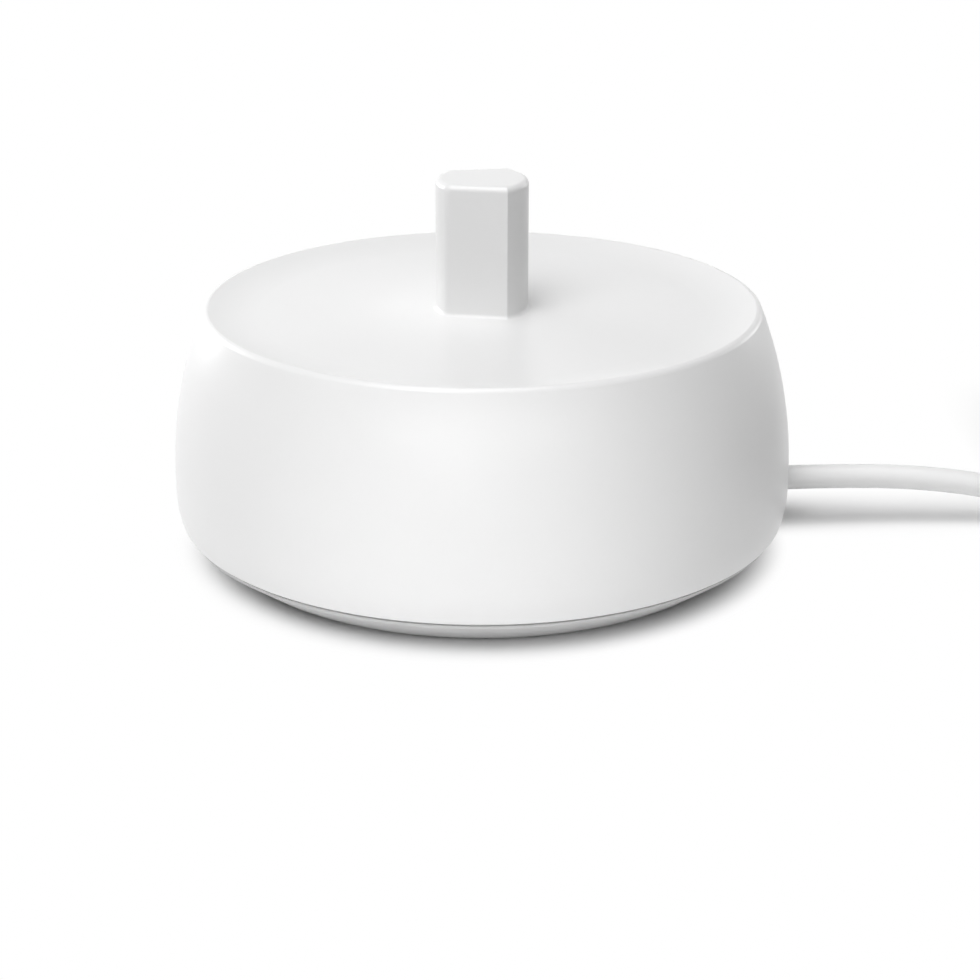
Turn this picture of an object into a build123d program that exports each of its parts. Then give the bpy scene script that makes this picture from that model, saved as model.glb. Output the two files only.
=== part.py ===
from build123d import *
import math
import os

os.makedirs("parts", exist_ok=True)

# Inductive charging base for an electric toothbrush, with its mains lead and flat two-pin plug.
# Millimetres. The origin is the middle of the base on the table, +Z is up, -Y is the front,
# and the lead leaves at the +X side.

# ---------------------------------------------------------------- driving dimensions
# Housing: one moulding of side wall, dished top and hollow charging stud
base_d = 62.0  # widest diameter
base_h = 25.0  # table to the crest of the rim
widest_z = 8.1  # the wall stands upright up to here, and then curves in
tuck_z = 6.4  # below this the wall tucks in again
tuck_arc_r = 8.0
skirt_z = 3.5  # height of the wall's bottom edge
skirt_fillet = 0.3
wall_taper = 3.46  # the wall's curve comes in this far from the widest point to the crest level
rim_w = 0.46  # level crest between the wall's curve and the dish
rim_fillet = 0.65
dish_band_w = 4.6  # dished band between the crest and the floor
dish_depth = 0.8  # crest to the outer edge of the floor
dish_crown = 0.25  # the floor rises this much to the middle, so that water runs off
wall = 1.9
top_t = 2.0
ceiling_fillet = 2.5

# Charging stud: two flats that open towards +X, closed by two arcs
stud_h = 13.0  # above the middle of the floor
stud_left_x = -4.55
stud_right_x = 4.57
stud_left_corner_x = -3.4
stud_left_half = 3.4  # half depth at the left corners
stud_right_corner_x = 2.45
stud_right_half = 4.4  # half depth at the right corners
stud_soft_fillet = 0.9  # left corners
stud_crisp_fillet = 0.12  # right corners
stud_top_fillet = 0.6
stud_foot_fillet = 0.35
stud_wall = 1.3
stud_top_t = 1.4

# Base plate, seal and foot
seal_t = 0.3
seal_inset = 0.65  # seal's outer edge in from the wall's bottom edge
plate_inset = 0.45  # plate's edge in from the wall's bottom edge
plate_edge_h = 0.25
plate_cone_w = 3.65  # width of the sloping underside
plate_clear = 0.35  # plate's underside above the table
plate_floor_z = 2.0  # top of the plate's floor
plate_edge_fillet = 0.3
spigot_clearance = 0.3
spigot_t = 1.5
spigot_h = 1.8  # above the plate's flange
foot_edge_w = 0.6  # plate's underside outside the foot ring
foot_w = 5.5
foot_t = 1.0
foot_clearance = 0.1
foot_fillet = 0.25

# Plate screws, in bosses beside the wall
plate_screw_n = 3
plate_screw_inset = 2.2  # in from the foot channel's outer edge
plate_screw_az = 95.0
plate_boss_d = 5.2
plate_pad_d = 6.4
plate_pad_h = 1.0
boss_web_t = 1.4
boss_web_gap = 2.6  # web starts this far above the plate's flange

# Self-tapping screws
screw_d = 2.0
screw_pilot_d = 2.1
screw_head_d = 3.8
screw_head_h = 0.85
screw_clearance = 0.15
screw_len = 7.0
recess_w = 0.5
recess_d = 0.4

# Circuit board
board_gap = 0.8  # to the plate screws' bosses
board_t = 1.6
board_z = 6.4  # underside
board_screw_n = 3
board_screw_inset = 3.2  # in from the board's edge
board_screw_az = 60.0
board_boss_d = 4.6
hole_clearance = 0.1
pin_below = 1.0  # leads stand out this far under the board

# Ferrite, bobbin and primary winding
ferrite_d = 4.8
ferrite_gap = 0.2  # under the stud's cap
ferrite_clearance = 0.1
bobbin_tube_t = 1.0
bobbin_flange_d = 19.0
bobbin_flange_t = 1.2
bobbin_floor_t = 0.8
bobbin_gap = 0.2  # under the ceiling
winding_depth = 5.2  # from the bobbin's tube outwards
winding_clearance = 0.05
terminal_n = 4
terminal_d = 0.8
terminal_inset = 1.3  # in from the bobbin flange's edge

# Components, as polar places on the board
part_inset = 5.6  # ring of components, in from the board's edge
lead_d = 0.6
capacitor_d = 8.0
capacitor_h = 11.5
capacitor_az = 97.0
capacitor_pitch = 3.5
film_l = 10.0
film_w = 4.5
film_h = 8.5
film_az = 140.0
film_pitch = 7.5
film_fillet = 0.5
choke_d = 6.4
choke_h = 7.0
choke_flange_t = 1.2
choke_waist_d = 3.0
choke_wire_d = 5.6
choke_az = 210.0
choke_pitch = 3.0
transistor_w = 4.8
transistor_t = 3.7
transistor_flat = 1.3  # flat face in front of the leads' line
transistor_h = 4.7
transistor_lift = 3.0
transistor_az = 240.0
transistor_pitch = 1.27
bridge_l = 8.3
bridge_w = 6.4
bridge_h = 2.6
bridge_lift = 0.5
bridge_az = 272.0
bridge_pitch = 5.08
bridge_chamfer = 0.3
fuse_d = 2.6
fuse_l = 6.4
fuse_waist_d = 2.2
fuse_az = 31.0
fuse_pitch = 9.6
resistor_d = 1.9
resistor_waist_d = 1.6
resistor_l = 3.4
resistor_pitch = 6.0
resistor_az = (318.0, 329.0, 340.0)
diode_d = 2.0
diode_l = 3.6
diode_pitch = 6.0
diode_az = (73.0, 167.0)
axial_lift = 0.3
inlet_inset = 3.6  # in from the board's edge
inlet_pitch = 3.4
inlet_pin_d = 0.9
inlet_head_d = 1.8
inlet_head_t = 0.5

# Lead outlet
outlet_az = 5.0
outlet_z = 5.2
outlet_slot_w = 3.6
grommet_clearance = 0.1
grommet_proud = 0.35
grommet_flange_w = 6.4
grommet_flange_t = 1.4
grommet_seat_gap = 0.3
grommet_tail_d = 3.0
grommet_tail_l = 1.6
wire_d = 1.1
wire_pitch = 1.5
wire_bend_r = 1.2

# Mains lead
cord_d = 2.5
cord_straight = 8.0  # straight out of the grommet
coil_rows = 4
coil_turns_wide = 3
coil_mid_r = 15.0  # six cord diameters
coil_x = 84.0
coil_lift = 0.6  # the tie passes under the coil
coil_stub = 9.4
tie_t = 0.5
tie_w = 5.0
tie_clearance = 0.08
tie_az = 135.0

# Plug: flat two-pin plug with sleeved round pins
plug_w = 26.1
plug_h = 13.7
plug_nose_l = 18.0  # straight part behind the face
plug_l = 34.0
plug_tail_w = 12.0
plug_tail_h = 9.0
plug_corner = 1.6
plug_fillet = 0.8
pin_d = 4.0
pin_l = 19.0
pin_pitch = 18.6  # at the face
pin_pitch_tip = 17.5
pin_neck_d = 3.0
sleeve_d = 3.6
sleeve_l = 10.0
pin_tip_fillet = 1.2
boot_l = 22.0
boot_root_d = 7.4
boot_tip_d = 3.8
boot_groove_n = 5
boot_groove_w = 1.0
boot_groove_depth = 0.55
tail_run = 21.0  # cord between the coil and the boot

# ---------------------------------------------------------------- derived sizes
base_r = base_d / 2
shoulder_r = base_r - wall_taper
wall_rise = base_h - widest_z
wall_arc_r = (wall_taper**2 + wall_rise**2) / (2 * wall_taper)
wall_arc_x = base_r - wall_arc_r


def wall_r(z, inset=0.0):
    """Radius of the side wall at a height above its tuck, moved in by inset."""
    return wall_arc_x + math.sqrt((wall_arc_r - inset) ** 2 - max(z - widest_z, 0) ** 2)


def wall_angle(z, inset=0.0):
    """Angle of a point of the wall's curve seen from the curve's centre, in degrees."""
    return math.degrees(math.asin((z - widest_z) / (wall_arc_r - inset)))


def polar(radius, azimuth, z=0.0):
    """Point at a radius and azimuth about the base's axis."""
    a = math.radians(azimuth)
    return Vector(radius * math.cos(a), radius * math.sin(a), z)


rim_r = shoulder_r - rim_w
dish_floor_r = rim_r - dish_band_w
dish_edge_z = base_h - dish_depth
dish_mid_z = dish_edge_z + dish_crown
ceiling_z = dish_edge_z - top_t
stud_top_z = dish_mid_z + stud_h
skirt_r = base_r - tuck_arc_r + math.sqrt(tuck_arc_r**2 - (tuck_z - skirt_z) ** 2)
plate_rim_z = skirt_z - seal_t
plate_r = skirt_r - plate_inset
seal_r = skirt_r - seal_inset
spigot_r = wall_r(plate_rim_z, wall) - spigot_clearance
spigot_top_z = plate_rim_z + spigot_h
pad_z = plate_floor_z + plate_pad_h
foot_outer_r = plate_r - plate_cone_w - foot_edge_w
foot_inner_r = foot_outer_r - foot_w
plate_screw_r = foot_outer_r - plate_screw_inset
board_r = plate_screw_r - plate_boss_d / 2 - board_gap
board_screw_r = board_r - board_screw_inset
part_r = board_r - part_inset
inlet_r = board_r - inlet_inset
terminal_r = bobbin_flange_d / 2 - terminal_inset
board_top_z = board_z + board_t
bobbin_top_z = ceiling_z - bobbin_gap
bobbin_tube_r = ferrite_d / 2 + ferrite_clearance + bobbin_tube_t
outlet_plane = Plane(
    origin=(0, 0, outlet_z),
    x_dir=polar(1, outlet_az + 90),
    z_dir=polar(1, outlet_az),
)
grommet_face = wall_r(outlet_z) + grommet_proud
flange_face = wall_r(outlet_z, wall) - grommet_seat_gap
flange_back = flange_face - grommet_flange_t
tail_end = flange_back - grommet_tail_l


def board_place(azimuth, z=board_top_z, radius=part_r):
    """Plane on the board at a polar place: x is tangential, y points to the middle."""
    return Plane(origin=polar(radius, azimuth, z), x_dir=polar(1, azimuth - 90), z_dir=(0, 0, 1))


def write(piece, node):
    """Labels a finished piece and writes it as one node."""
    piece.part.label = node
    export_step(piece.part, f"parts/{node}.step")
    print(f"{node:20s} solids {len(piece.part.solids()):2d}  volume {piece.part.volume:9.2f}")


# ---------------------------------------------------------------- housing
# The charging stud's outline, for its outside and, moved in, for the space inside it
with BuildSketch() as stud_outline:
    with BuildLine():
        Line((stud_left_corner_x, -stud_left_half), (stud_right_corner_x, -stud_right_half))
        ThreePointArc(
            (stud_right_corner_x, -stud_right_half), (stud_right_x, 0), (stud_right_corner_x, stud_right_half)
        )
        Line((stud_right_corner_x, stud_right_half), (stud_left_corner_x, stud_left_half))
        ThreePointArc(
            (stud_left_corner_x, stud_left_half), (stud_left_x, 0), (stud_left_corner_x, -stud_left_half)
        )
    make_face()

with BuildSketch() as stud_section:
    add(stud_outline.sketch)
    fillet(stud_section.vertices().sort_by(Axis.X)[:2], stud_soft_fillet)
    fillet(stud_section.vertices().sort_by(Axis.X)[-2:], stud_crisp_fillet)

with BuildSketch() as stud_bore:
    offset(stud_outline.sketch, amount=-stud_wall, kind=Kind.INTERSECTION)

# Screw bosses that hang from the ceiling, trimmed to the middle of the wall and of the top
with BuildPart() as bosses:
    with BuildSketch(Plane.XY.offset(board_top_z)):
        with PolarLocations(board_screw_r, board_screw_n, board_screw_az):
            Circle(board_boss_d / 2)
    extrude(amount=base_h - board_top_z)
    with BuildSketch(Plane.XY.offset(pad_z)):
        with PolarLocations(plate_screw_r, plate_screw_n, plate_screw_az):
            Circle(plate_boss_d / 2)
    extrude(amount=base_h - pad_z)
    with BuildSketch(Plane.XY.offset(plate_rim_z + boss_web_gap)):
        with PolarLocations((plate_screw_r + base_r) / 2, plate_screw_n, plate_screw_az):
            Rectangle(base_r - plate_screw_r, boss_web_t)
    extrude(amount=base_h - plate_rim_z - boss_web_gap)
    with BuildSketch(Plane.XZ):
        with BuildLine():
            mid_z = ceiling_z + top_t / 2
            Line((0, 0), (base_r - wall / 2, 0))
            Line((base_r - wall / 2, 0), (base_r - wall / 2, widest_z))
            CenterArc((wall_arc_x, widest_z), wall_arc_r - wall / 2, 0, wall_angle(mid_z, wall / 2))
            Line((wall_r(mid_z, wall / 2), mid_z), (0, mid_z))
            Line((0, mid_z), (0, 0))
        make_face()
    revolve(axis=Axis.Z, mode=Mode.INTERSECT)

with BuildPart() as housing:
    # side wall and dished top as one turned form
    with BuildSketch(Plane.XZ):
        with BuildLine():
            tuck_angle = math.degrees(math.asin((tuck_z - skirt_z) / tuck_arc_r))
            Line((0, skirt_z), (skirt_r, skirt_z))
            CenterArc((base_r - tuck_arc_r, tuck_z), tuck_arc_r, -tuck_angle, tuck_angle)
            Line((base_r, tuck_z), (base_r, widest_z))
            CenterArc((wall_arc_x, widest_z), wall_arc_r, 0, wall_angle(base_h))
            Line((shoulder_r, base_h), (rim_r, base_h))
            TangentArc(
                (dish_floor_r, dish_edge_z), (rim_r, base_h), tangent=(dish_floor_r, -dish_crown)
            )
            Line((dish_floor_r, dish_edge_z), (0, dish_mid_z))
            Line((0, dish_mid_z), (0, skirt_z))
        make_face()
    revolve(axis=Axis.Z)
    rim_edge = housing.edges().filter_by(GeomType.CIRCLE).sort_by(Axis.Z)[-2:].sort_by(SortBy.RADIUS)[-1]
    fillet(rim_edge, rim_fillet)
    fillet(housing.edges().filter_by(GeomType.CIRCLE).sort_by(Axis.Z)[0], skirt_fillet)

    # charging stud, standing in the middle of the dish
    with BuildSketch(Plane.XY.offset(dish_edge_z - dish_crown)):
        add(stud_section.sketch)
    extrude(amount=stud_top_z - dish_edge_z + dish_crown)
    fillet(housing.faces().sort_by(Axis.Z)[-1].edges(), stud_top_fillet)
    foot_edges = housing.edges().filter_by(
        lambda e: dish_edge_z < e.center().Z < dish_mid_z + 0.1
        and e.center().X ** 2 + e.center().Y ** 2 < (stud_right_half + stud_right_x) ** 2 / 2
    )
    fillet(foot_edges, stud_foot_fillet)

    # hollow inside, a wall thickness in from the outside, with the space up the stud
    with BuildSketch(Plane.XZ) as hollow:
        with BuildLine():
            Line((0, skirt_z), (base_r - wall, skirt_z))
            Line((base_r - wall, skirt_z), (base_r - wall, widest_z))
            CenterArc((wall_arc_x, widest_z), wall_arc_r - wall, 0, wall_angle(ceiling_z, wall))
            Line((wall_r(ceiling_z, wall), ceiling_z), (0, ceiling_z))
            Line((0, ceiling_z), (0, skirt_z))
        make_face()
        fillet(hollow.vertices().sort_by(Axis.Y)[-2:].sort_by(Axis.X)[-1], ceiling_fillet)
    revolve(axis=Axis.Z, mode=Mode.SUBTRACT)
    with BuildSketch(Plane.XY.offset(ceiling_z - ceiling_fillet)):
        add(stud_bore.sketch)
    extrude(amount=stud_top_z - stud_top_t - ceiling_z + ceiling_fillet, mode=Mode.SUBTRACT)

    # bosses for the circuit board and, webbed to the wall, for the base plate
    add(bosses.part)

    # pilot holes for both sets of screws
    with Locations(Plane.XY.offset(board_top_z)):
        with PolarLocations(board_screw_r, board_screw_n, board_screw_az):
            Cylinder(screw_pilot_d / 2, screw_len, align=(Align.CENTER, Align.CENTER, Align.MIN), mode=Mode.SUBTRACT)
    with Locations(Plane.XY.offset(pad_z)):
        with PolarLocations(plate_screw_r, plate_screw_n, plate_screw_az):
            Cylinder(screw_pilot_d / 2, screw_len, align=(Align.CENTER, Align.CENTER, Align.MIN), mode=Mode.SUBTRACT)

    # slot for the lead's grommet, open at the bottom edge
    with BuildSketch(outlet_plane.offset(wall_r(outlet_z, wall) - grommet_flange_t)):
        Circle(outlet_slot_w / 2)
        with Locations((0, -outlet_z / 2)):
            Rectangle(outlet_slot_w, outlet_z)
    extrude(amount=wall + grommet_flange_t + base_r / 10, mode=Mode.SUBTRACT)

write(housing, "housing")

# ---------------------------------------------------------------- base plate
with BuildPart() as base_plate:
    with BuildSketch(Plane.XZ) as plate_profile:
        with BuildLine():
            Polyline(
                (0, plate_clear),
                (plate_r - plate_cone_w, plate_clear),
                (plate_r, plate_rim_z - plate_edge_h),
                (plate_r, plate_rim_z),
                (spigot_r, plate_rim_z),
                (spigot_r, spigot_top_z),
                (spigot_r - spigot_t, spigot_top_z),
                (spigot_r - spigot_t, plate_floor_z),
                (0, plate_floor_z),
                close=True,
            )
        make_face()
        fillet(plate_profile.vertices().sort_by(Axis.Y)[:2].sort_by(Axis.X)[-1], plate_edge_fillet)
    revolve(axis=Axis.Z)

    # pads that meet the housing's bosses
    with BuildSketch(Plane.XY.offset(plate_floor_z - plate_pad_h / 2)):
        with PolarLocations(plate_screw_r, plate_screw_n, plate_screw_az):
            Circle(plate_pad_d / 2)
    extrude(amount=plate_pad_h * 1.5)

    # channel for the foot ring
    with BuildSketch(Plane.XY):
        Circle(foot_outer_r)
        Circle(foot_inner_r, mode=Mode.SUBTRACT)
    extrude(amount=foot_t, mode=Mode.SUBTRACT)

    # counterbored holes, which the foot ring covers
    with Locations(Plane.XY):
        with PolarLocations(plate_screw_r, plate_screw_n, plate_screw_az):
            Cylinder(
                screw_head_d / 2 + screw_clearance,
                foot_t + screw_head_h,
                align=(Align.CENTER, Align.CENTER, Align.MIN),
                mode=Mode.SUBTRACT,
            )
            Cylinder(
                screw_d / 2 + screw_clearance,
                pad_z * 2,
                align=(Align.CENTER, Align.CENTER, Align.MIN),
                mode=Mode.SUBTRACT,
            )

    # gap in the spigot for the grommet
    with BuildSketch(outlet_plane.offset(flange_face + grommet_clearance)):
        with Locations((0, plate_floor_z - outlet_z)):
            Rectangle(
                grommet_flange_w + spigot_clearance * 2,
                spigot_top_z - plate_floor_z + spigot_clearance,
                align=(Align.CENTER, Align.MIN),
            )
    extrude(amount=-spigot_t * 2, mode=Mode.SUBTRACT)

write(base_plate, "base_plate")

# Flat gasket that shows as the fine joint line under the wall
with BuildPart() as base_seal:
    with BuildSketch(Plane.XY.offset(plate_rim_z)):
        Circle(seal_r)
        Circle(wall_r(skirt_z, wall) + spigot_clearance / 2, mode=Mode.SUBTRACT)
    extrude(amount=seal_t)

write(base_seal, "base_seal")

# Anti-slip ring bedded in the plate's channel
with BuildPart() as foot_ring:
    with BuildSketch(Plane.XY):
        Circle(foot_outer_r - foot_clearance)
        Circle(foot_inner_r + foot_clearance, mode=Mode.SUBTRACT)
    extrude(amount=foot_t)
    fillet(foot_ring.faces().sort_by(Axis.Z)[0].edges(), foot_fillet)

write(foot_ring, "foot_ring")


# ---------------------------------------------------------------- screws
def screw_set(radius, count, azimuth, seat_z):
    """Pan-head screws on a circle, driven upwards, with the heads' seats at seat_z."""
    with BuildPart() as screws:
        with BuildSketch(Plane.XY.offset(seat_z)):
            with PolarLocations(radius, count, azimuth):
                Circle(screw_head_d / 2)
        extrude(amount=-screw_head_h)
        fillet(screws.faces().filter_by(Plane.XY).group_by(Axis.Z)[0].edges(), screw_head_h / 3)
        with BuildSketch(Plane.XY.offset(seat_z)):
            with PolarLocations(radius, count, azimuth):
                Circle(screw_d / 2)
        extrude(amount=screw_len - screw_head_h)
        with BuildSketch(Plane.XY.offset(seat_z - screw_head_h)):
            with PolarLocations(radius, count, azimuth):
                Rectangle(screw_head_d * 0.6, recess_w)
                Rectangle(recess_w, screw_head_d * 0.6)
        extrude(amount=recess_d, mode=Mode.SUBTRACT)
    return screws


plate_screws = screw_set(plate_screw_r, plate_screw_n, plate_screw_az, foot_t + screw_head_h)
write(plate_screws, "plate_screws")
board_screws = screw_set(board_screw_r, board_screw_n, board_screw_az, board_z)
write(board_screws, "board_screws")

# ---------------------------------------------------------------- ferrite, bobbin and winding
with BuildPart() as ferrite_core:
    with BuildSketch(Plane.XY.offset(board_top_z + bobbin_floor_t)):
        Circle(ferrite_d / 2)
    extrude(amount=stud_top_z - stud_top_t - ferrite_gap - board_top_z - bobbin_floor_t)
    chamfer(ferrite_core.edges().filter_by(GeomType.CIRCLE), 0.3)

write(ferrite_core, "ferrite_core")

with BuildPart() as coil_bobbin:
    with BuildSketch(Plane.XZ):
        with BuildLine():
            Polyline(
                (0, board_top_z),
                (bobbin_flange_d / 2, board_top_z),
                (bobbin_flange_d / 2, board_top_z + bobbin_flange_t),
                (bobbin_tube_r, board_top_z + bobbin_flange_t),
                (bobbin_tube_r, bobbin_top_z - bobbin_flange_t),
                (bobbin_flange_d / 2, bobbin_top_z - bobbin_flange_t),
                (bobbin_flange_d / 2, bobbin_top_z),
                (bobbin_tube_r - bobbin_tube_t, bobbin_top_z),
                (bobbin_tube_r - bobbin_tube_t, board_top_z + bobbin_floor_t),
                (0, board_top_z + bobbin_floor_t),
                close=True,
            )
        make_face()
    revolve(axis=Axis.Z)
    # holes for the terminal pins
    with Locations(Plane.XY.offset(board_top_z)):
        with PolarLocations(terminal_r, terminal_n, 45):
            Cylinder(
                terminal_d / 2 + hole_clearance / 2,
                bobbin_flange_t,
                align=(Align.CENTER, Align.CENTER, Align.MIN),
                mode=Mode.SUBTRACT,
            )

write(coil_bobbin, "coil_bobbin")

with BuildPart() as primary_winding:
    with BuildSketch(Plane.XY.offset(board_top_z + bobbin_flange_t)):
        Circle(bobbin_tube_r + winding_depth)
        Circle(bobbin_tube_r + winding_clearance, mode=Mode.SUBTRACT)
    extrude(amount=bobbin_top_z - board_top_z - bobbin_flange_t * 2)
    # notches that leave room for the terminal pins' heads
    with Locations(Plane.XY.offset(board_top_z + bobbin_flange_t)):
        with PolarLocations(terminal_r, terminal_n, 45):
            Cylinder(
                terminal_d,
                terminal_d * 1.5,
                align=(Align.CENTER, Align.CENTER, Align.MIN),
                mode=Mode.SUBTRACT,
            )

write(primary_winding, "primary_winding")

with BuildPart() as terminal_pins:
    with BuildSketch(Plane.XY.offset(board_z - pin_below)):
        with PolarLocations(terminal_r, terminal_n, 45):
            Circle(terminal_d / 2)
    extrude(amount=board_t + pin_below + bobbin_flange_t + terminal_d)

write(terminal_pins, "terminal_pins")

# ---------------------------------------------------------------- circuit board
# Every lead that passes through the board, as (place, offset along x, offset along y, diameter)
drillings = []
for pitch, azimuth in ((capacitor_pitch, capacitor_az), (film_pitch, film_az), (choke_pitch, choke_az)):
    drillings += [(azimuth, -pitch / 2, 0, lead_d), (azimuth, pitch / 2, 0, lead_d)]
drillings += [(transistor_az, k * transistor_pitch, 0, lead_d) for k in (-1, 0, 1)]
for side in (-1, 1):
    drillings += [(bridge_az, side * bridge_pitch / 2, end * bridge_w / 2, lead_d) for end in (-1, 1)]
drillings += [(fuse_az, side * fuse_pitch / 2, 0, lead_d) for side in (-1, 1)]
for azimuth in resistor_az:
    drillings += [(azimuth, 0, side * resistor_pitch / 2, lead_d) for side in (-1, 1)]
for azimuth in diode_az:
    drillings += [(azimuth, 0, side * diode_pitch / 2, lead_d) for side in (-1, 1)]

with BuildPart() as circuit_board:
    with BuildSketch(Plane.XY.offset(board_z)):
        Circle(board_r)
        with PolarLocations(board_screw_r, board_screw_n, board_screw_az):
            Circle(screw_d / 2 + screw_clearance, mode=Mode.SUBTRACT)
        with PolarLocations(terminal_r, terminal_n, 45):
            Circle(terminal_d / 2 + hole_clearance, mode=Mode.SUBTRACT)
    extrude(amount=board_t)
    for azimuth, along, across, diameter in drillings:
        with BuildSketch(board_place(azimuth, board_z)):
            with Locations((along, across)):
                Circle(diameter / 2 + hole_clearance)
        extrude(amount=board_t, mode=Mode.SUBTRACT)
    with BuildSketch(board_place(outlet_az, board_z, inlet_r)):
        with GridLocations(inlet_pitch, 0, 2, 1):
            Circle(inlet_pin_d / 2 + hole_clearance)
    extrude(amount=board_t, mode=Mode.SUBTRACT)

write(circuit_board, "circuit_board")

# ---------------------------------------------------------------- components
# Electrolytic reservoir capacitor: beaded can on two leads
with BuildPart() as bulk_capacitor:
    place = board_place(capacitor_az)
    with BuildSketch(Plane.XZ) as can_profile:
        with BuildLine():
            Polyline(
                (0, 0.2),
                (capacitor_d / 2 - 0.4, 0.2),
                (capacitor_d / 2, 0.6),
                (capacitor_d / 2, 1.4),
                (capacitor_d / 2 - 0.35, 1.8),
                (capacitor_d / 2, 2.2),
                (capacitor_d / 2, capacitor_h),
                (0, capacitor_h),
                close=True,
            )
        make_face()
        fillet(can_profile.vertices().sort_by(Axis.Y)[-2:].sort_by(Axis.X)[-1], 0.5)
    revolve(axis=Axis.Z)
    with BuildSketch(Plane.XY.offset(0.2)):
        with GridLocations(capacitor_pitch, 0, 2, 1):
            Circle(lead_d / 2)
    extrude(amount=-board_t - pin_below - 0.2)
    # relief cross in the can's end
    with BuildSketch(Plane.XY.offset(capacitor_h)):
        Rectangle(capacitor_d * 0.6, 0.4)
        Rectangle(0.4, capacitor_d * 0.6)
    extrude(amount=-0.25, mode=Mode.SUBTRACT)
bulk_capacitor.part = place * bulk_capacitor.part

write(bulk_capacitor, "bulk_capacitor")

# Film capacitor that tunes the primary: moulded box
with BuildPart() as resonant_capacitor:
    with BuildSketch(board_place(film_az, board_top_z + axial_lift)):
        Rectangle(film_l, film_w)
    extrude(amount=film_h)
    fillet(resonant_capacitor.edges().filter_by(Axis.Z), film_fillet)
    fillet(resonant_capacitor.faces().sort_by(Axis.Z)[-1].edges(), film_fillet / 2)
    with BuildSketch(board_place(film_az, board_top_z + axial_lift)):
        with GridLocations(film_pitch, 0, 2, 1):
            Circle(lead_d / 2)
    extrude(amount=-axial_lift - board_t - pin_below)

write(resonant_capacitor, "resonant_capacitor")

# Drum choke: ferrite drum with its winding as a separate piece
with BuildPart() as choke_core:
    with BuildSketch(Plane.XZ):
        with BuildLine():
            Polyline(
                (0, 0),
                (choke_d / 2, 0),
                (choke_d / 2, choke_flange_t),
                (choke_waist_d / 2, choke_flange_t),
                (choke_waist_d / 2, choke_h - choke_flange_t),
                (choke_d / 2, choke_h - choke_flange_t),
                (choke_d / 2, choke_h),
                (0, choke_h),
                close=True,
            )
        make_face()
    revolve(axis=Axis.Z)
    with BuildSketch(Plane.XY):
        with GridLocations(choke_pitch, 0, 2, 1):
            Circle(lead_d / 2)
    extrude(amount=-board_t - pin_below)
choke_core.part = board_place(choke_az) * choke_core.part

write(choke_core, "choke_core")

with BuildPart() as choke_winding:
    with BuildSketch(board_place(choke_az, board_top_z + choke_flange_t)):
        Circle(choke_wire_d / 2)
        Circle(choke_waist_d / 2 + winding_clearance, mode=Mode.SUBTRACT)
    extrude(amount=choke_h - choke_flange_t * 2)

write(choke_winding, "choke_winding")

# Switching transistor: half-round moulding on three legs, with its flat towards the wall
with BuildPart() as power_transistor:
    place = board_place(transistor_az, board_top_z + transistor_lift)
    with BuildSketch(place):
        Circle(transistor_w / 2)
        with Locations((0, -transistor_flat)):
            Rectangle(
                transistor_w * 2, transistor_t * 2, align=(Align.CENTER, Align.MAX), mode=Mode.SUBTRACT
            )
    extrude(amount=transistor_h)
    with BuildSketch(place):
        with GridLocations(transistor_pitch, 0, 3, 1):
            Circle(lead_d / 2)
    extrude(amount=-transistor_lift - board_t - pin_below)

write(power_transistor, "power_transistor")

# Bridge rectifier: flat moulding with four legs down its ends
with BuildPart() as bridge_rectifier:
    place = board_place(bridge_az, board_top_z + bridge_lift)
    with BuildSketch(place):
        Rectangle(bridge_l, bridge_w - lead_d * 1.5)
    extrude(amount=bridge_h)
    chamfer(bridge_rectifier.faces().sort_by(Axis.Z)[-1].edges(), bridge_chamfer)
    with BuildSketch(place.offset(bridge_h / 2 + lead_d / 4)):
        for side in (-1, 1):
            with Locations((side * bridge_pitch / 2, 0)):
                Rectangle(lead_d, bridge_w + lead_d / 2)
    extrude(amount=-lead_d / 2)
    with BuildSketch(place.offset(bridge_h / 2 + lead_d / 4)):
        with GridLocations(bridge_pitch, bridge_w, 2, 2):
            Rectangle(lead_d * 0.8, lead_d / 2)
    extrude(amount=-bridge_h / 2 - lead_d / 4 - bridge_lift - board_t - pin_below)

write(bridge_rectifier, "bridge_rectifier")


def axial_part(azimuth, along_radius, body_d, waist_d, body_l, pitch):
    """Axial component lying on the board: waisted body on a lead bent down at both ends."""
    axis_z = board_top_z + axial_lift + body_d / 2
    place = board_place(azimuth, axis_z)
    if along_radius:
        place = place.rotated((0, 0, 90))
    end_w = body_l / 5
    with BuildPart() as piece:
        with BuildSketch(Plane(origin=place.origin, x_dir=place.x_dir, z_dir=-place.y_dir)):
            with BuildLine():
                Polyline(
                    (-body_l / 2, 0),
                    (-body_l / 2, body_d / 2),
                    (-body_l / 2 + end_w, body_d / 2),
                    (-body_l / 2 + end_w * 1.3, waist_d / 2),
                    (body_l / 2 - end_w * 1.3, waist_d / 2),
                    (body_l / 2 - end_w, body_d / 2),
                    (body_l / 2, body_d / 2),
                    (body_l / 2, 0),
                    close=True,
                )
            make_face()
        revolve(axis=Axis(place.origin, place.x_dir))
        with BuildLine() as lead_path:
            FilletPolyline(
                place.from_local_coords((-pitch / 2, 0, board_z - pin_below - axis_z)),
                place.from_local_coords((-pitch / 2, 0, 0)),
                place.from_local_coords((pitch / 2, 0, 0)),
                place.from_local_coords((pitch / 2, 0, board_z - pin_below - axis_z)),
                radius=lead_d,
            )
        with BuildSketch(Plane(origin=lead_path.line @ 0, z_dir=lead_path.line % 0)):
            Circle(lead_d / 2)
        sweep()
    return piece


fuse_resistor = axial_part(fuse_az, False, fuse_d, fuse_waist_d, fuse_l, fuse_pitch)
write(fuse_resistor, "fuse_resistor")

with BuildPart() as bias_resistors:
    for azimuth in resistor_az:
        add(axial_part(azimuth, True, resistor_d, resistor_waist_d, resistor_l, resistor_pitch).part)
write(bias_resistors, "bias_resistors")

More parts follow.
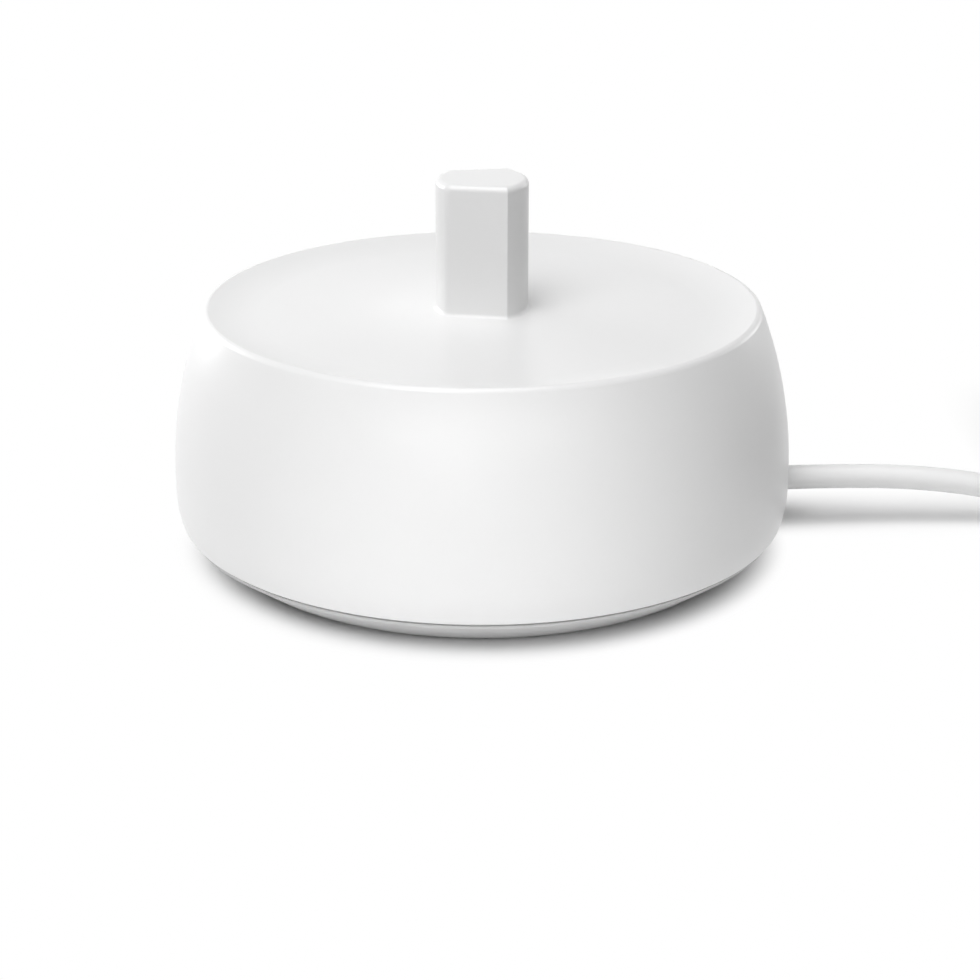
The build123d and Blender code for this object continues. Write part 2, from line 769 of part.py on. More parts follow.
with BuildPart() as clamp_diodes:
    for azimuth in diode_az:
        add(axial_part(azimuth, True, diode_d, diode_d * 0.9, diode_l, diode_pitch).part)
write(clamp_diodes, "clamp_diodes")

# Headed solder pins where the mains wires reach the board
with BuildPart() as inlet_terminals:
    with BuildSketch(board_place(outlet_az, board_z, inlet_r)):
        with GridLocations(inlet_pitch, 0, 2, 1):
            Circle(inlet_pin_d / 2)
    extrude(amount=board_t)
    with BuildSketch(board_place(outlet_az, board_top_z, inlet_r)):
        with GridLocations(inlet_pitch, 0, 2, 1):
            Circle(inlet_head_d / 2)
    extrude(amount=inlet_head_t)
    chamfer(inlet_terminals.faces().filter_by(Plane.XY).group_by(Axis.Z)[-1].edges(), inlet_head_t / 3)

write(inlet_terminals, "inlet_terminals")

# ---------------------------------------------------------------- grommet and wires
with BuildPart() as cord_grommet:
    # neck that fills the slot
    neck_w = outlet_slot_w - grommet_clearance * 2
    with BuildSketch(outlet_plane.offset(flange_face)):
        Circle(neck_w / 2)
        with Locations((0, skirt_z - outlet_z)):
            Rectangle(neck_w, outlet_z - skirt_z, align=(Align.CENTER, Align.MIN))
    extrude(amount=grommet_face - flange_face)
    outlet_axis = Axis(outlet_plane.origin, outlet_plane.z_dir)
    fillet(cord_grommet.faces().sort_by(outlet_axis)[-1].edges(), grommet_proud / 2)
    # flange behind the wall
    with BuildSketch(outlet_plane.offset(flange_back)):
        with Locations((0, plate_floor_z + spigot_clearance - outlet_z)):
            RectangleRounded(
                grommet_flange_w,
                (outlet_z - plate_floor_z - spigot_clearance) * 2,
                1.2,
                align=(Align.CENTER, Align.MIN),
            )
    extrude(amount=grommet_flange_t)
    # tail round the wires
    with BuildSketch(outlet_plane.offset(flange_back)):
        Circle(grommet_tail_d / 2)
    extrude(amount=-grommet_tail_l)

write(cord_grommet, "cord_grommet")

with BuildPart() as mains_leads:
    for side in (-1, 1):
        spread = (tail_end - inlet_r) / 4
        with BuildLine() as wire_path:
            FilletPolyline(
                outlet_plane.from_local_coords((side * wire_pitch / 2, 0, tail_end)),
                outlet_plane.from_local_coords((side * wire_pitch / 2, 0, tail_end - spread)),
                outlet_plane.from_local_coords((side * inlet_pitch / 2, 0, inlet_r + spread)),
                outlet_plane.from_local_coords((side * inlet_pitch / 2, 0, inlet_r)),
                outlet_plane.from_local_coords((side * inlet_pitch / 2, board_z - outlet_z, inlet_r)),
                radius=[wire_bend_r, wire_bend_r, (board_z - outlet_z) * 0.9],
            )
        with BuildSketch(Plane(origin=wire_path.line @ 0, z_dir=wire_path.line % 0)):
            Circle(wire_d / 2)
        sweep()

write(mains_leads, "mains_leads")

# ---------------------------------------------------------------- mains lead
coil_outer_r = coil_mid_r + coil_turns_wide * cord_d / 2
coil_inner_r = coil_mid_r - coil_turns_wide * cord_d / 2
entry_r = coil_outer_r - cord_d / 2
exit_r = entry_r + cord_d / 4
coil_h = coil_rows * cord_d
entry_z = coil_lift + cord_d / 2
exit_z = coil_lift + coil_h - cord_d / 2
entry_y = 2.55
coil_y = entry_y + entry_r
plug_z = plug_h / 2


def cord_tube(points):
    """Tube along straight runs joined by the largest tangent arcs that they leave room for."""
    points = [Vector(*p) for p in points]
    runs = [b - a for a, b in zip(points, points[1:])]
    turns = [a.get_angle(b) for a, b in zip(runs, runs[1:])]
    radii = [
        0.45 * min(a.length, b.length) / math.tan(math.radians(turn / 2))
        for a, b, turn in zip(runs, runs[1:], turns)
    ]
    with BuildPart() as tube:
        with BuildLine() as route:
            FilletPolyline(*points, radius=radii)
        with BuildSketch(Plane(origin=route.line @ 0, z_dir=route.line % 0)):
            Circle(cord_d / 2)
        sweep()
    length = route.wires()[0].length
    expected = math.pi * cord_d**2 / 4 * length
    print(f"  radii {[round(r, 1) for r in radii]}  length {length:.1f}")
    print(f"  volume against section x length {tube.part.volume / expected:.5f}")
    return tube


cord = cord_tube(
    [
        outlet_plane.offset(grommet_face).origin,
        outlet_plane.offset(grommet_face + cord_straight).origin,
        (48.0, 3.50, 4.75),
        (57.0, 3.00, 3.30),
        (66.0, entry_y, entry_z),
        (coil_x - coil_stub, entry_y, entry_z),
    ]
)
write(cord, "cord")

# The put-away length: a round coil, with the two ends of the cord standing out at tangents
with BuildPart() as cord_coil:
    with BuildSketch(Plane.XZ) as coil_section:
        with Locations((coil_mid_r, coil_lift + coil_h / 2)):
            RectangleRounded(coil_turns_wide * cord_d, coil_h, cord_d / 3)
    revolve(axis=Axis.Z)
    with BuildSketch(Plane.YZ.offset(-coil_stub)):
        with Locations((-entry_r, entry_z)):
            Circle(cord_d / 2)
    extrude(amount=coil_stub)
    with BuildSketch(Plane.YZ):
        with Locations((-exit_r, exit_z)):
            Circle(cord_d / 2)
    extrude(amount=coil_stub)
cord_coil.part = Location((coil_x, coil_y, 0)) * cord_coil.part

write(cord_coil, "cord_coil")

# Tie: a closed band round the coil's section
with BuildPart() as coil_tie:
    tie_bulge = coil_inner_r - math.sqrt(coil_inner_r**2 - tie_w**2 / 4)
    band_w = coil_turns_wide * cord_d + (tie_clearance + tie_bulge) * 2
    band_h = coil_h + tie_clearance * 2
    tie_plane = Plane(origin=(0, 0, coil_lift + coil_h / 2), x_dir=polar(1, tie_az), z_dir=polar(1, tie_az + 90))
    with BuildSketch(tie_plane.offset(-tie_w / 2)):
        with Locations((coil_mid_r, 0)):
            RectangleRounded(band_w + tie_t * 2, band_h + tie_t * 2, cord_d / 3 + tie_t)
            RectangleRounded(band_w, band_h, cord_d / 3, mode=Mode.SUBTRACT)
    extrude(amount=tie_w)
coil_tie.part = Location((coil_x, coil_y, 0)) * coil_tie.part

write(coil_tie, "coil_tie")

# ---------------------------------------------------------------- plug
tail_x = coil_x + coil_stub
tail_y = coil_y - exit_r

tail = cord_tube(
    [
        (tail_x, tail_y, exit_z),
        (tail_x + tail_run * 0.3, tail_y, exit_z),
        (tail_x + tail_run * 0.68, tail_y, plug_z),
        (tail_x + tail_run, tail_y, plug_z),
    ]
)
write(tail, "cord_tail")

# The plug is drawn along +Y from its boot's tip, then laid in line with the cord's tail
plug_y = boot_l
face_y = plug_y + plug_l
plug_place = Location((tail_x + tail_run, tail_y, 0), (0, 0, -90))


def write_laid(piece, node):
    """Lays a finished piece of the plug in its place and writes it as one node."""
    piece.part = plug_place * piece.part
    write(piece, node)


# Ribbed boot that tapers on to the cord
with BuildPart() as plug_boot:
    with BuildSketch(Plane.XZ.offset(-plug_y)):
        with Locations((0, plug_z)):
            Circle(boot_root_d / 2)
    with BuildSketch(Plane.XZ):
        with Locations((0, plug_z)):
            Circle(boot_tip_d / 2)
    loft()
    groove_step = boot_l / (boot_groove_n + 1)
    for k in range(boot_groove_n):
        reach = groove_step * (k + 1)
        boot_r = (boot_root_d + (boot_tip_d - boot_root_d) * reach / boot_l) / 2
        with BuildSketch(Plane.XZ.offset(-plug_y + reach - boot_groove_w / 2)):
            with Locations((0, plug_z)):
                Circle(boot_root_d)
                Circle(boot_r - boot_groove_depth, mode=Mode.SUBTRACT)
        extrude(amount=boot_groove_w, mode=Mode.SUBTRACT)

write_laid(plug_boot, "plug_boot")


def plug_outline(width, height):
    """Flattened hexagon of the plug's section, centred on the plug's axis."""
    flat = width - height
    with BuildSketch(mode=Mode.PRIVATE) as outline:
        with BuildLine():
            Polyline(
                (-flat / 2, -height / 2),
                (flat / 2, -height / 2),
                (width / 2, 0),
                (flat / 2, height / 2),
                (-flat / 2, height / 2),
                (-width / 2, 0),
                close=True,
            )
        make_face()
        fillet(outline.vertices(), plug_corner)
    return outline.sketch


with BuildPart() as plug_body:
    with BuildSketch(Plane.XZ.offset(-face_y)):
        with Locations((0, plug_z)):
            add(plug_outline(plug_w, plug_h))
    extrude(amount=plug_nose_l)
    with BuildSketch(Plane.XZ.offset(-face_y + plug_nose_l)):
        with Locations((0, plug_z)):
            add(plug_outline(plug_w, plug_h))
    with BuildSketch(Plane.XZ.offset(-plug_y)):
        with Locations((0, plug_z)):
            add(plug_outline(plug_tail_w, plug_tail_h))
    loft()
    fillet(plug_body.faces().sort_by(Axis.Y)[-1].edges(), plug_fillet)
    fillet(plug_body.faces().sort_by(Axis.Y)[0].edges(), plug_fillet)

write_laid(plug_body, "plug_body")

# Round pins that lean together, bare at the tip and sleeved next to the plug's face
pin_lean = math.atan((pin_pitch - pin_pitch_tip) / 2 / pin_l)
pin_axes = [
    Plane(
        origin=(side * pin_pitch / 2, face_y, plug_z),
        x_dir=(math.cos(pin_lean), side * math.sin(pin_lean), 0),
        z_dir=(-side * math.sin(pin_lean), math.cos(pin_lean), 0),
    )
    for side in (-1, 1)
]

with BuildPart() as plug_pins:
    for axis in pin_axes:
        with BuildSketch(axis.offset(-pin_neck_d)):
            Circle(pin_neck_d / 2)
        extrude(amount=pin_neck_d + sleeve_l)
        with BuildSketch(axis.offset(sleeve_l)):
            Circle(pin_d / 2)
        extrude(amount=pin_l - sleeve_l)
    fillet(plug_pins.faces().filter_by(GeomType.PLANE).sort_by(Axis.Y)[-2:].edges(), pin_tip_fillet)
    split(bisect_by=Plane.XZ.offset(-face_y), keep=Keep.BOTTOM)

write_laid(plug_pins, "plug_pins")

with BuildPart() as pin_sleeves:
    for axis in pin_axes:
        with BuildSketch(axis.offset(-pin_neck_d)):
            Circle(sleeve_d / 2)
            Circle(pin_neck_d / 2, mode=Mode.SUBTRACT)
        extrude(amount=pin_neck_d + sleeve_l)
    split(bisect_by=Plane.XZ.offset(-face_y), keep=Keep.BOTTOM)

write_laid(pin_sleeves, "pin_sleeves")
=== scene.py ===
import math

import bpy
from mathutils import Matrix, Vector


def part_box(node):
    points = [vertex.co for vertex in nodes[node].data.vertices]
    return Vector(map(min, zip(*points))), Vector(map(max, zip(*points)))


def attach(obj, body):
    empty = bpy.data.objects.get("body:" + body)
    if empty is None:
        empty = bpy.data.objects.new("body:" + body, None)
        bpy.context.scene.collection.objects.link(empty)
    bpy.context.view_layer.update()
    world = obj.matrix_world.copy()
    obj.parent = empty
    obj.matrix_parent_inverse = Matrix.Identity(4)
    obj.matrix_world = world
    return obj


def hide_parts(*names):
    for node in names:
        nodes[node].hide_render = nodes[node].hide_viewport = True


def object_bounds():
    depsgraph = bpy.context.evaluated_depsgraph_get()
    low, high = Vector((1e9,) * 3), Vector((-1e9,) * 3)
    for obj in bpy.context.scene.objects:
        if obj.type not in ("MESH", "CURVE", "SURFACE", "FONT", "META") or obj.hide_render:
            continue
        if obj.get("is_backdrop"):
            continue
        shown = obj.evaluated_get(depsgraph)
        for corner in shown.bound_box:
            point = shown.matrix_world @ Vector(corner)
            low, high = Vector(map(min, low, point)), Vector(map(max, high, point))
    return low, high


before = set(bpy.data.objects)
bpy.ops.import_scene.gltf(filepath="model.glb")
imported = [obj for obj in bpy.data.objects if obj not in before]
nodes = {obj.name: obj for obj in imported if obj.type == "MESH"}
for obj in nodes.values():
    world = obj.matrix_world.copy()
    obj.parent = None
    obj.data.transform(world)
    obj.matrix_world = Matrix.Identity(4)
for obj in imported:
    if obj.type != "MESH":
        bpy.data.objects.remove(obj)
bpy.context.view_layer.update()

# ---------------------------------------------------------------- housing
# One injection moulding: side wall, rim, dished top and charging stud. ABS from a polished tool with a
# faint satin grain, so highlights are broad and soft while the edges stay crisp.
MM = 0.001


def srgb(code):
    """Linear colour, with alpha, from an sRGB hex value."""
    values = [int(code[k : k + 2], 16) / 255 for k in (1, 3, 5)]
    return [v / 12.92 if v <= 0.04045 else ((v + 0.055) / 1.055) ** 2.4 for v in values] + [1.0]


def add(tree, kind, inputs=None, **settings):
    """Adds a node with its settings. Inputs go by name or number, and take a value or a socket to link."""
    made = tree.nodes.new(kind)
    for name, value in settings.items():
        setattr(made, name, value)
    for key, value in (inputs or {}).items():
        if isinstance(value, bpy.types.NodeSocket):
            tree.links.new(value, made.inputs[key])
        else:
            made.inputs[key].default_value = value
    return made


def new_material(name):
    """Empty node material, with its tree and the object's coordinates."""
    material = bpy.data.materials.new(name)
    material.use_nodes = True
    tree = material.node_tree
    tree.nodes.clear()
    return material, tree, tree.nodes.new("ShaderNodeTexCoord").outputs["Object"]


def finish(tree, shader):
    """Ends a material: the shader goes to its surface."""
    tree.links.new(shader.outputs[0], add(tree, "ShaderNodeOutputMaterial").inputs["Surface"])


def moulded(name, low, high, roughness, grain_mm, depth_mm, ior, spread=0.04):
    """Moulded skin: two close shades in soft clouds, with the tool's grain in the bump."""
    material, tree, place = new_material(name)
    cloud = add(tree, "ShaderNodeTexNoise", {"Vector": place, "Scale": 90.0, "Detail": 2.0}).outputs["Fac"]
    grain = add(tree, "ShaderNodeTexNoise", {"Vector": place, "Scale": 1 / (grain_mm * MM), "Detail": 2.0})
    colour = add(tree, "ShaderNodeMix", {"Factor": cloud, "A": srgb(low), "B": srgb(high)}, data_type="RGBA")
    rough = add(tree, "ShaderNodeMapRange", {
        "Value": cloud, "To Min": roughness, "To Max": roughness + spread,
    })
    bump = add(tree, "ShaderNodeBump", {
        "Height": grain.outputs["Fac"], "Strength": 1.0, "Distance": depth_mm * MM,
    })
    finish(tree, add(tree, "ShaderNodeBsdfPrincipled", {
        "Base Color": colour.outputs["Result"], "Roughness": rough.outputs["Result"],
        "Normal": bump.outputs["Normal"], "IOR": ior,
    }))
    return material


def dress(material, *names):
    """Gives the named CAD nodes their one material."""
    for name in names:
        nodes[name].data.materials.clear()
        nodes[name].data.materials.append(material)


abs_white = moulded("abs_satin_white", "#F1F1F1", "#F3F3F3", 0.30, 0.25, 0.0004, 1.54)
dress(abs_white, "housing")

# ---------------------------------------------------------------- base plate
# Closes the underside and carries the foot ring's channel. ABS moulded in a spark-eroded tool, so it is matt
# beside the housing. Its colour is set a grey darker than the housing's.
abs_matt = moulded("abs_spark_eroded_white", "#CDCDCD", "#D1D1D1", 0.55, 0.3, 0.006, 1.54)
dress(abs_matt, "base_plate")

# ---------------------------------------------------------------- seal
# Flat gasket between wall and base plate, punched from silicone sheet. Only its edge shows, as a fine
# pale grey joint line.
silicone = moulded("silicone_sheet_grey", "#BEBEBF", "#C8C8C9", 0.6, 0.4, 0.004, 1.41)
dress(silicone, "base_seal")

# ---------------------------------------------------------------- foot ring
# Anti-slip ring bedded in the plate's channel, moulded from thermoplastic elastomer. Dull and slightly
# darker than the ABS, with a dry, powdery skin.
elastomer = moulded("tpe_dry_grey", "#B9B9BA", "#C3C3C4", 0.8, 0.35, 0.012, 1.48)
dress(elastomer, "foot_ring")

# ---------------------------------------------------------------- screws
# Self-tapping pan-head screws, three for the base plate and three for the circuit board. Cold-headed
# steel, zinc plated and passivated, so a bright blue-grey metal with a soft cloudy gloss.
scene = bpy.context.scene
screw_d = 2.0 * MM
head_h = 0.85 * MM


def plated(name, low, high, roughness, spread):
    """Thin bright plating on metal: cloudy shade and gloss over a faint pickled grain."""
    material, tree, place = new_material(name)
    cloud = add(tree, "ShaderNodeTexNoise", {"Vector": place, "Scale": 900.0, "Detail": 3.0}).outputs["Fac"]
    colour = add(tree, "ShaderNodeMix", {"Factor": cloud, "A": srgb(low), "B": srgb(high)}, data_type="RGBA")
    rough = add(tree, "ShaderNodeMapRange", {
        "Value": cloud, "To Min": roughness, "To Max": roughness + spread,
    })
    bump = add(tree, "ShaderNodeBump", {"Height": cloud, "Strength": 0.3, "Distance": 0.01 * MM})
    finish(tree, add(tree, "ShaderNodeBsdfPrincipled", {
        "Base Color": colour.outputs["Result"], "Roughness": rough.outputs["Result"],
        "Normal": bump.outputs["Normal"], "Metallic": 1.0,
    }))
    return material


zinc = plated("steel_zinc_plated", "#B4B8BC", "#C6CACD", 0.25, 0.15)
dress(zinc, "plate_screws", "board_screws")


def new_tree(name, **sizes):
    """Geometry Nodes tree with a geometry input and output and a named input for each size."""
    tree = bpy.data.node_groups.new(name, "GeometryNodeTree")
    tree.interface.new_socket("Geometry", in_out="INPUT", socket_type="NodeSocketGeometry")
    for label, value in sizes.items():
        kind = "NodeSocketInt" if isinstance(value, int) else "NodeSocketFloat"
        tree.interface.new_socket(label, in_out="INPUT", socket_type=kind).default_value = value
    tree.interface.new_socket("Geometry", in_out="OUTPUT", socket_type="NodeSocketGeometry")
    return tree, add(tree, "NodeGroupInput").outputs


def close_tree(tree, geometry, material):
    """Ends a tree: instances made real, smooth shading and the material."""
    real = add(tree, "GeometryNodeRealizeInstances", {"Geometry": geometry})
    smooth = add(tree, "GeometryNodeSetShadeSmooth", {"Geometry": real.outputs[0]})
    painted = add(tree, "GeometryNodeSetMaterial", {"Geometry": smooth.outputs[0], "Material": material})
    add(tree, "NodeGroupOutput", {"Geometry": painted.outputs[0]})


def grow(name, tree, points, **sizes):
    """Runs a tree on loose points and keeps the result as a plain mesh object."""
    start = bpy.data.meshes.new(name + "_points")
    start.from_pydata([tuple(p) for p in points], [], [])
    maker = bpy.data.objects.new(name + "_maker", start)
    scene.collection.objects.link(maker)
    modifier = maker.modifiers.new("nodes", "NODES")
    modifier.node_group = tree
    for item in tree.interface.items_tree:
        if item.in_out == "INPUT" and item.name in sizes:
            modifier[item.identifier] = sizes[item.name]
    evaluated = maker.evaluated_get(bpy.context.evaluated_depsgraph_get())
    made = bpy.data.objects.new(name, bpy.data.meshes.new_from_object(evaluated))
    scene.collection.objects.link(made)
    maker.modifiers.clear()
    bpy.data.objects.remove(maker)
    return made


def wound_tree(name, material):
    """Tree for a wire wound to and fro in layers, one continuous helix, on each point."""
    tree, given = new_tree(name, Inner=1.0, Wire=0.1, Pitch=0.1, Turns=10.0, Per_Layer=5.0, Steps=36, Sides=6)
    count = add(tree, "ShaderNodeMath", {0: given["Turns"], 1: given["Steps"]}, operation="MULTIPLY")
    line = add(tree, "GeometryNodeCurvePrimitiveLine", {"End": (0, 0, 1)})
    cut = add(tree, "GeometryNodeResampleCurve", {"Curve": line.outputs[0], "Count": count.outputs[0]})
    index = add(tree, "GeometryNodeInputIndex").outputs[0]
    turn = add(tree, "ShaderNodeMath", {0: index, 1: given["Steps"]}, operation="DIVIDE").outputs[0]
    angle = add(tree, "ShaderNodeMath", {0: turn, 1: 2 * math.pi}, operation="MULTIPLY").outputs[0]
    layers = add(tree, "ShaderNodeMath", {0: turn, 1: given["Per_Layer"]}, operation="DIVIDE").outputs[0]
    layer = add(tree, "ShaderNodeMath", {0: layers}, operation="FLOOR").outputs[0]
    stack = add(tree, "ShaderNodeMath", {0: layer, 1: 0.5}, operation="ADD").outputs[0]
    radius = add(
        tree, "ShaderNodeMath", {0: stack, 1: given["Wire"], 2: given["Inner"]}, operation="MULTIPLY_ADD"
    ).outputs[0]
    along = add(tree, "ShaderNodeMath", {0: turn, 1: given["Per_Layer"]}, operation="PINGPONG").outputs[0]
    height = add(tree, "ShaderNodeMath", {0: along, 1: given["Pitch"]}, operation="MULTIPLY").outputs[0]
    way = [
        add(tree, "ShaderNodeMath", {0: angle}, operation=part).outputs[0] for part in ("COSINE", "SINE")
    ]
    flat = [add(tree, "ShaderNodeMath", {0: radius, 1: w}, operation="MULTIPLY").outputs[0] for w in way]
    place = add(tree, "ShaderNodeCombineXYZ", {"X": flat[0], "Y": flat[1], "Z": height}).outputs[0]
    helix = add(tree, "GeometryNodeSetPosition", {"Geometry": cut.outputs[0], "Position": place})
    half = add(tree, "ShaderNodeMath", {0: given["Wire"], 1: 0.5}, operation="MULTIPLY").outputs[0]
    ring = add(tree, "GeometryNodeCurvePrimitiveCircle", {"Resolution": given["Sides"], "Radius": half})
    wire = add(tree, "GeometryNodeCurveToMesh", {
        "Curve": helix.outputs[0], "Profile Curve": ring.outputs[0], "Fill Caps": True,
    })
    copies = add(tree, "GeometryNodeInstanceOnPoints", {
        "Points": given["Geometry"], "Instance": wire.outputs[0],
    })
    close_tree(tree, copies.outputs[0], material)
    return tree


def centres(name, low_z, high_z, width):
    """Middle of each shank or lead of a width, from a node's corners between two heights."""
    groups = []
    reach = width * 1.03
    for vertex in nodes[name].data.vertices:
        x, y, z = vertex.co
        if not low_z <= z <= high_z:
            continue
        near = [group for group in groups if math.dist(group[0], (x, y)) < reach]
        if near:
            near[0].append((x, y))
        else:
            groups.append([(x, y)])
    return [
        tuple((min(p[k] for p in group) + max(p[k] for p in group)) / 2 for k in (0, 1)) for group in groups
    ]


# rolled threads: a flat-topped ridge wound up each shank, which bites into the plastic of its boss
thread_pitch = 0.8 * MM
thread_d = 0.3 * MM
thread_sunk = 0.7 * thread_d
for screws in ("plate_screws", "board_screws"):
    low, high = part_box(screws)
    start_z = low.z + head_h + thread_pitch
    turns = (high.z - start_z) / thread_pitch
    tree = wound_tree(screws + "_thread", zinc)
    shanks = centres(screws, low.z + head_h + 0.1 * MM, high.z + 0.1 * MM, screw_d)
    threads = grow(
        screws + "_threads", tree, [(x, y, start_z) for x, y in shanks],
        Inner=screw_d / 2 - thread_sunk, Wire=thread_d, Pitch=thread_pitch, Turns=turns,
        Per_Layer=turns + 1,
    )
    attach(threads, "root")

# ---------------------------------------------------------------- ferrite core
# Rod of sintered manganese-zinc ferrite that leads the field up the stud. A dark, dry ceramic with a fine
# open grain from pressing.
ferrite = moulded("ferrite_sintered", "#2B2B2D", "#3A3A3C", 0.62, 0.12, 0.010, 1.9, spread=0.12)
dress(ferrite, "ferrite_core", "choke_core")

# ---------------------------------------------------------------- bobbin
# Carries the winding and its terminal pins, and holds the ferrite rod. Glass-filled polyamide, moulded
# black, with a slight sheen where fibres lie near the surface.
polyamide = moulded("polyamide_glass_filled_black", "#151516", "#1F1F20", 0.38, 0.5, 0.006, 1.53)
dress(polyamide, "coil_bobbin")

# ---------------------------------------------------------------- primary winding
# Enamelled copper wire wound to and fro between the bobbin's flanges in one length. The lacquer gives the
# metal a clear, wet gloss. The wire is drawn twice as thick as it is, so that its turns can be seen.
wire_d = 0.5 * MM
bobbin_low, bobbin_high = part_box("coil_bobbin")
bobbin_flange = 1.2 * MM
tube_r = 3.5 * MM
winding_gap = 0.05 * MM


def enamelled(name, low, high):
    """Lacquered wire: cloudy metal under a clear coat."""
    material, tree, place = new_material(name)
    cloud = add(tree, "ShaderNodeTexNoise", {"Vector": place, "Scale": 400.0, "Detail": 2.0}).outputs["Fac"]
    colour = add(tree, "ShaderNodeMix", {"Factor": cloud, "A": srgb(low), "B": srgb(high)}, data_type="RGBA")
    bump = add(tree, "ShaderNodeBump", {"Height": cloud, "Strength": 0.2, "Distance": 0.01 * MM})
    finish(tree, add(tree, "ShaderNodeBsdfPrincipled", {
        "Base Color": colour.outputs["Result"], "Normal": bump.outputs["Normal"],
        "Metallic": 1.0, "Roughness": 0.28, "Coat Weight": 0.6, "Coat Roughness": 0.1, "Coat IOR": 1.55,
    }))
    return material


copper = enamelled("copper_enamelled", "#B5603A", "#C97248")
space_h = bobbin_high.z - bobbin_low.z - bobbin_flange * 2
space_w = (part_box("primary_winding")[1].x - tube_r) - winding_gap
per_layer = int(space_h / wire_d - 1)
layers = int(space_w / wire_d)
winding = grow(
    "primary_wire", wound_tree("layer_winding", copper), [(0, 0, bobbin_low.z + bobbin_flange + wire_d / 2)],
    Inner=tube_r + winding_gap, Wire=wire_d, Pitch=(space_h - wire_d) / per_layer,
    Turns=float(per_layer * layers), Per_Layer=float(per_layer),
)
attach(winding, "root")
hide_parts("primary_winding")

# ---------------------------------------------------------------- terminal pins
# Four pins pressed into the bobbin's lower flange, where the winding ends. Hard brass wire with a bright
# dip of tin.
tin = plated("brass_tinned", "#C2C2BE", "#D2D2CE", 0.22, 0.12)
dress(tin, "terminal_pins")

# ---------------------------------------------------------------- circuit board
# Round board punched from glass-fibre laminate, under the housing's three inner bosses. Green solder
# resist on both faces, a shade lighter over the copper tracks, and bare straw-coloured laminate at its edge.
board_low, board_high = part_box("circuit_board")
track_step = 2.54 * MM
gap_w = 0.62 * track_step
foil = 0.035 * MM
strand = 0.4 * MM
board, tree, place = new_material("laminate_solder_resist_green")
flat = add(tree, "ShaderNodeVectorMath", {0: place, 1: (1, 1, 0)}, operation="MULTIPLY").outputs[0]
reach = add(tree, "ShaderNodeVectorMath", {0: flat}, operation="LENGTH").outputs["Value"]
rings = add(tree, "ShaderNodeMath", {0: reach, 1: track_step}, operation="PINGPONG").outputs[0]
line = add(tree, "ShaderNodeMath", {0: rings, 1: gap_w}, operation="GREATER_THAN").outputs[0]
patches = add(tree, "ShaderNodeTexVoronoi", {"Vector": flat, "Scale": 130.0}, feature="F1").outputs["Color"]
kept = add(tree, "ShaderNodeMath", {0: patches, 1: 0.42}, operation="GREATER_THAN").outputs[0]
track = add(tree, "ShaderNodeMath", {0: line, 1: kept}, operation="MULTIPLY").outputs[0]
resist = add(tree, "ShaderNodeMix", {
    "Factor": track, "A": srgb("#14502C"), "B": srgb("#2B7A45"),
}, data_type="RGBA")
normal = add(tree, "ShaderNodeTexCoord").outputs["Normal"]
upright = add(tree, "ShaderNodeSeparateXYZ", {0: normal}).outputs["Z"]
upright = add(tree, "ShaderNodeMath", {0: upright}, operation="ABSOLUTE").outputs[0]
face = add(tree, "ShaderNodeMath", {0: upright, 1: 0.5}, operation="GREATER_THAN").outputs[0]
weave = add(tree, "ShaderNodeTexNoise", {"Vector": place, "Scale": 1 / strand, "Detail": 2.0}).outputs["Fac"]
edge = add(tree, "ShaderNodeMix", {
    "Factor": weave, "A": srgb("#A89A63"), "B": srgb("#C4B67E"),
}, data_type="RGBA")
colour = add(tree, "ShaderNodeMix", {
    "Factor": face, "A": edge.outputs["Result"], "B": resist.outputs["Result"],
}, data_type="RGBA")
rough = add(tree, "ShaderNodeMapRange", {"Value": face, "To Min": 0.8, "To Max": 0.32})
relief = add(tree, "ShaderNodeMath", {0: track, 1: face}, operation="MULTIPLY").outputs[0]
bump = add(tree, "ShaderNodeBump", {"Height": relief, "Strength": 0.6, "Distance": foil})
finish(tree, add(tree, "ShaderNodeBsdfPrincipled", {
    "Base Color": colour.outputs["Result"], "Roughness": rough.outputs["Result"],
    "Normal": bump.outputs["Normal"], "IOR": 1.55,
}))
dress(board, "circuit_board")

# ---------------------------------------------------------------- solder joints
# One joint where each lead comes through the board, drawn up the lead as the tin wetted it. Tin solder,
# bright and slightly frosted.
pad_r, tip_r, joint_h = 0.95 * MM, 0.36 * MM, 0.85 * MM
lead_w, bobbin_pin_w, inlet_pin_w = 0.6 * MM, 0.8 * MM, 0.9 * MM
solder = plated("solder_tin", "#BDBDBB", "#D4D4D1", 0.18, 0.2)
ends = []
for part in ("terminal_pins", "bulk_capacitor", "resonant_capacitor", "choke_core", "power_transistor",
             "bridge_rectifier", "fuse_resistor", "bias_resistors", "clamp_diodes"):
    width = bobbin_pin_w if part == "terminal_pins" else lead_w
    ends += centres(part, board_low.z - 2 * MM, board_low.z - 0.9 * MM, width)
ends += centres("inlet_terminals", board_low.z - 0.1 * MM, board_low.z + 0.1 * MM, inlet_pin_w)
tree, given = new_tree("solder_joint", Pad=pad_r, Tip=tip_r, Height=joint_h)
cone = add(tree, "GeometryNodeMeshCone", {
    "Vertices": 10, "Side Segments": 3, "Radius Bottom": given["Pad"], "Radius Top": given["Tip"],
    "Depth": given["Height"],
})
soft = add(tree, "GeometryNodeSubdivisionSurface", {"Mesh": cone.outputs["Mesh"], "Level": 2})
joints = add(tree, "GeometryNodeInstanceOnPoints", {
    "Points": given["Geometry"], "Instance": soft.outputs[0], "Rotation": (math.pi, 0, 0),
})
close_tree(tree, joints.outputs[0], solder)
joints = grow("solder_joints", tree, [(x, y, board_low.z) for x, y in ends])
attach(joints, "root")

